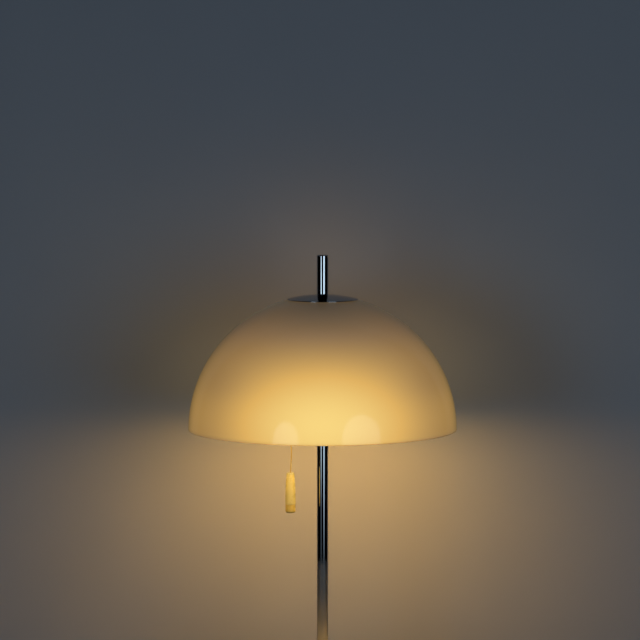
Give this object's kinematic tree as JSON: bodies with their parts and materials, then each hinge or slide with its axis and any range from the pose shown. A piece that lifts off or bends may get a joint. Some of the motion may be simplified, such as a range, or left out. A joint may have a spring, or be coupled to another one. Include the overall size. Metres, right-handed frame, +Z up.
{
  "type": "table lamp",
  "caption": "Table lamp with a glowing half-sphere opal shade on a slim chromed stem, clamped under a cap disc and finial, with a pull switch on a cord under the rim.",
  "frame": {"origin": "on the stem's axis at the underside of the felt pad", "axes": "+Z up along the stem, -Y to the front of the lamp, +Y to the mains inlet"},
  "size_m": [0.339, 0.339, 0.5409],
  "materials": {
    "chrome": "polished",
    "felt": "felt",
    "cast_iron": "as cast",
    "steel": "zinc plated",
    "black_plastic": "moulded",
    "rubber": "matt",
    "opal": "gloss opal",
    "white_paint": "satin",
    "white_plastic": "moulded",
    "brass": "plain",
    "ceramic": "unglazed",
    "frosted": "frosted",
    "cord": "braided",
    "ivory": "polished"
  },
  "bodies": {
    "lamp": {"base_cover": "chrome", "base_nut": "steel", "base_pad": "felt", "base_rod": "steel", "base_washer": "steel", "base_weight": "cast_iron", "bulb_cap_front": "brass", "bulb_cap_left": "brass", "bulb_cap_right": "brass", "bulb_glass_front": "frosted", "bulb_glass_left": "frosted", "bulb_glass_right": "frosted", "cap_disc": "chrome", "centre_rod": "steel", "centre_sleeve": "chrome", "cord_bush": "black_plastic", "holder_cap_front": "black_plastic", "holder_cap_left": "black_plastic", "holder_cap_right": "black_plastic", "holder_contacts": "brass", "holder_insert_front": "ceramic", "holder_insert_left": "ceramic", "holder_insert_right": "ceramic", "holder_lock_nuts": "steel", "holder_nipples": "steel", "holder_shell_front": "black_plastic", "holder_shell_left": "black_plastic", "holder_shell_right": "black_plastic", "holder_sleeve_front": "brass", "holder_sleeve_left": "brass", "holder_sleeve_right": "brass", "hub_body": "white_paint", "hub_lid": "white_paint", "hub_nut": "steel", "lower_gasket": "rubber", "pull_spring": "steel", "shade": "opal", "shade_carrier": "steel", "stem_collar": "chrome", "stem_lower_insert": "steel", "stem_tube": "chrome", "stem_upper_insert": "steel", "switch_cover": "black_plastic", "switch_housing": "black_plastic", "switch_lock_nut": "steel", "switch_neck": "brass", "switch_neck_nut": "brass", "switch_nipple": "steel", "terminal_block": "white_plastic", "upper_gasket": "rubber"},
    "plunger": {"pull_plunger": "brass"},
    "pull": {"pull_loop": "cord", "pull_cord": "cord", "handle_knot": "cord", "pull_handle": "ivory", "handle_foot": "ivory"},
    "finial_knob": {"finial": "chrome"}
  },
  "joints": [
    {"name": "pull_slide", "type": "slide", "parent": "lamp", "child": "plunger", "axis": [0, 0, -1], "range_m": [0, 0.01], "stiffness_N_per_m": 400, "springref_m": -0.008, "deforming": ["pull_spring"]},
    {"name": "pull_swing", "type": "hinge", "parent": "plunger", "child": "pull", "pos_m": [-0.0404, -0.02332, 0.3175], "axis": [0, 1, 0], "range_deg": [-25, 25]},
    {"name": "finial_turn", "type": "hinge", "parent": "lamp", "child": "finial_knob", "pos_m": [0, 0, 0.5], "axis": [0, 0, 1], "continuous": true}
  ]
}
